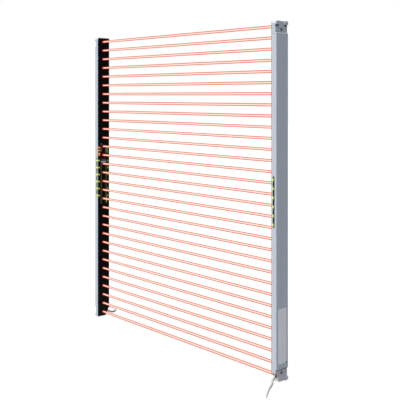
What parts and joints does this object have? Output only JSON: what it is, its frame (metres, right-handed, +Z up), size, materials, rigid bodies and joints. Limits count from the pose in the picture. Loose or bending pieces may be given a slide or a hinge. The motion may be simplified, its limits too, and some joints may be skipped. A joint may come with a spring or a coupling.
{
  "type": "safety light curtain",
  "caption": "Pair of slim upright safety light curtain bars with black windows, moulded end caps, indicator strips and short cable leads with screw-on connectors.",
  "frame": {"origin": "midway between the two bars, on the surface that they stand on", "axes": "+X from the emitter's bar to the receiver's, +Z up along the bars, -Y the side that the picture shows"},
  "size_m": [0.8051, 0.1939, 0.638],
  "materials": {
    "casing": "satin silver grey, lighter on the narrow sides",
    "end_cap": "moulded, painted silver grey",
    "gasket": "dark moulded rubber",
    "insert": "plain turned brass",
    "plate": "bare adhesive plate",
    "window": "gloss black, dark to the eye",
    "lens": "clear dark lens plastic",
    "holder": "matt black moulding",
    "screw": "plain steel",
    "board": "green board",
    "element": "dark encapsulated element",
    "chip": "black package",
    "header": "cream housing",
    "side_light": "dark olive light guide",
    "lamp": "yellow green lamp",
    "status_light": "tinted light pipe",
    "display": "pale grey display face",
    "bush": "cream moulded bush",
    "grip": "dark overmoulded grip",
    "carrier": "black contact carrier",
    "pin": "gold plated",
    "seal_ring": "soft sealing ring",
    "nut": "nickel plated, fluted",
    "jacket": "light grey cable jacket"
  },
  "bodies": {
    "light_curtain": {"emitter_board_chips": "chip", "emitter_board_connector": "header", "emitter_bottom_cap": "end_cap", "emitter_cable": "jacket", "emitter_cable_bush": "bush", "emitter_cap_gaskets": "gasket", "emitter_connector_body": "grip", "emitter_connector_carrier": "carrier", "emitter_connector_pins": "pin", "emitter_connector_ring": "seal_ring", "emitter_control_board": "board", "emitter_display_plate": "display", "emitter_element_board": "board", "emitter_front_window": "window", "emitter_holder_screws": "screw", "emitter_housing": "casing", "emitter_indicator_lamps": "lamp", "emitter_lens_strip": "lens", "emitter_mounting_inserts": "insert", "emitter_name_plate": "plate", "emitter_optical_elements": "element", "emitter_optics_holder": "holder", "emitter_side_light_guides": "side_light", "emitter_status_light_pipes": "status_light", "emitter_top_cap": "end_cap", "emitter_window_seal": "gasket", "receiver_board_chips": "chip", "receiver_board_connector": "header", "receiver_bottom_cap": "end_cap", "receiver_cable": "jacket", "receiver_cable_bush": "bush", "receiver_cap_gaskets": "gasket", "receiver_connector_body": "grip", "receiver_connector_carrier": "carrier", "receiver_connector_pins": "pin", "receiver_connector_ring": "seal_ring", "receiver_control_board": "board", "receiver_display_plate": "display", "receiver_element_board": "board", "receiver_front_window": "window", "receiver_holder_screws": "screw", "receiver_housing": "casing", "receiver_indicator_lamps": "lamp", "receiver_lens_strip": "lens", "receiver_mounting_inserts": "insert", "receiver_name_plate": "plate", "receiver_optical_elements": "element", "receiver_optics_holder": "holder", "receiver_side_light_guides": "side_light", "receiver_status_light_pipes": "status_light", "receiver_top_cap": "end_cap", "receiver_window_seal": "gasket"},
    "emitter_nut": {"emitter_coupling_nut": "nut"},
    "receiver_nut": {"receiver_coupling_nut": "nut"}
  },
  "joints": [
    {"name": "emitter_nut_spin", "type": "hinge", "parent": "light_curtain", "child": "emitter_nut", "pos_m": [-0.39457, 0.08917, 0.0074], "axis": [-0.8204, 0.5718, 0], "continuous": true},
    {"name": "receiver_nut_spin", "type": "hinge", "parent": "light_curtain", "child": "receiver_nut", "pos_m": [0.39222, -0.0763, 0.0074], "axis": [0.9279, 0.3728, 0], "continuous": true}
  ]
}
